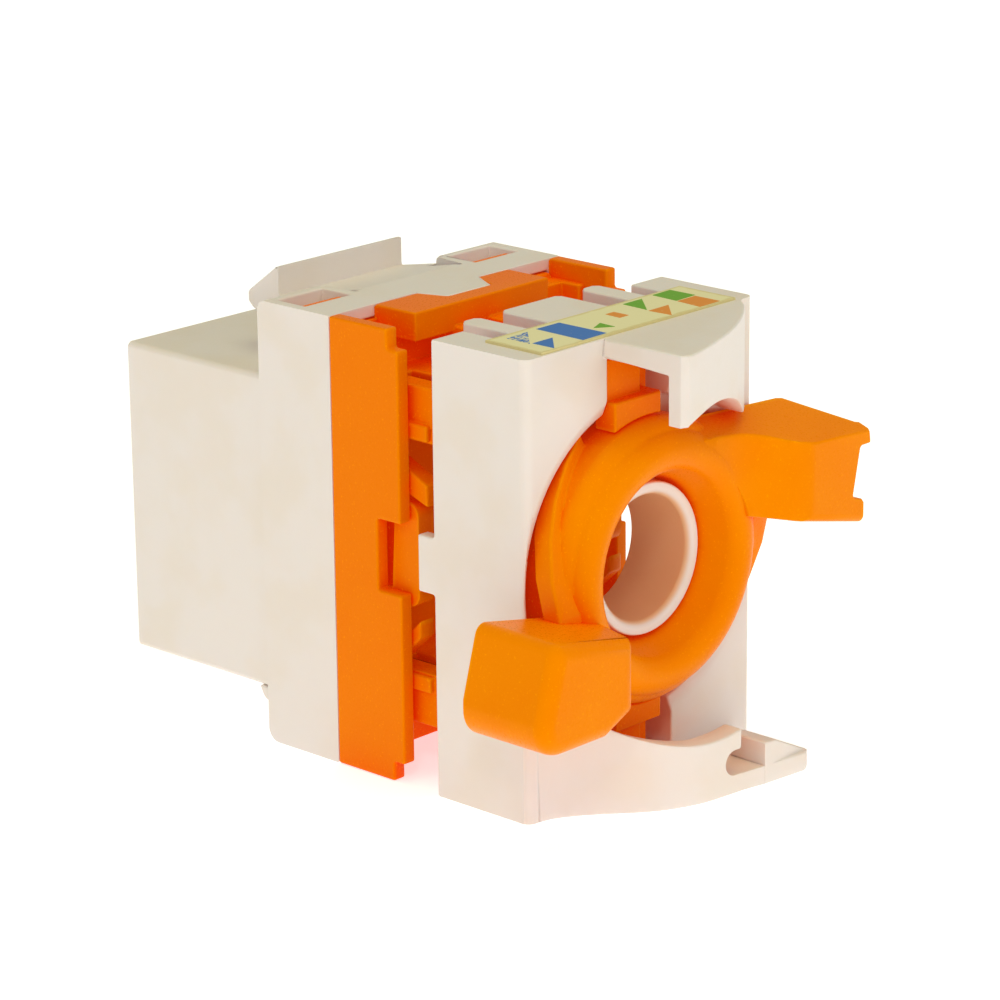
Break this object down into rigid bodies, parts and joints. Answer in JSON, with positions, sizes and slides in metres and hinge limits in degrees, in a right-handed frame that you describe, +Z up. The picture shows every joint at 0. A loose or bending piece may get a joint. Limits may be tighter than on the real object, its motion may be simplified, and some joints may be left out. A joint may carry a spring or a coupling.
{
  "type": "keystone jack",
  "caption": "White and orange snap-in network socket module with a plug opening at the front and a quarter-turn lever cap that clamps the cable wires at the back.",
  "frame": {"origin": "centre line of the plug nose, on the front face of the shoulder that meets the panel, at mid height of the nose", "axes": "-Y is the plug side, +Y the cable side, +Z up, +X the left side seen from the cable end"},
  "size_m": [0.0255, 0.0329, 0.0233],
  "materials": {
    "white_plastic": "satin, slightly grained",
    "orange_plastic": "satin, slightly translucent",
    "contact_metal": "gold plated",
    "blade_metal": "tin plated",
    "board": "green circuit board",
    "label_paper": "printed, yellowed edge"
  },
  "bodies": {
    "body": {"front_housing": "white_plastic", "contact_carrier": "white_plastic", "circuit_board": "board", "idc_frame": "orange_plastic", "plug_contact_1": "contact_metal", "plug_contact_2": "contact_metal", "plug_contact_3": "contact_metal", "plug_contact_4": "contact_metal", "plug_contact_5": "contact_metal", "plug_contact_6": "contact_metal", "plug_contact_7": "contact_metal", "plug_contact_8": "contact_metal", "idc_blade_1": "blade_metal", "idc_blade_2": "blade_metal", "idc_blade_3": "blade_metal", "idc_blade_4": "blade_metal", "idc_blade_5": "blade_metal", "idc_blade_6": "blade_metal", "idc_blade_7": "blade_metal", "idc_blade_8": "blade_metal"},
    "cap": {"wire_cap": "white_plastic", "wiring_label": "label_paper"},
    "lever": {"lever_ring": "orange_plastic"}
  },
  "joints": [
    {"name": "cap_slide", "type": "slide", "parent": "body", "child": "cap", "axis": [0, -1, 0], "range_m": [0, 0.0018]},
    {"name": "lever_turn", "type": "hinge", "parent": "cap", "child": "lever", "pos_m": [0, 0.0177, 0.0006], "axis": [0, -1, 0], "range_deg": [0, 55]}
  ],
  "couplings": [
    {"joint": "lever_turn", "follows": "cap_slide", "rad_per_m": 531.9}
  ]
}
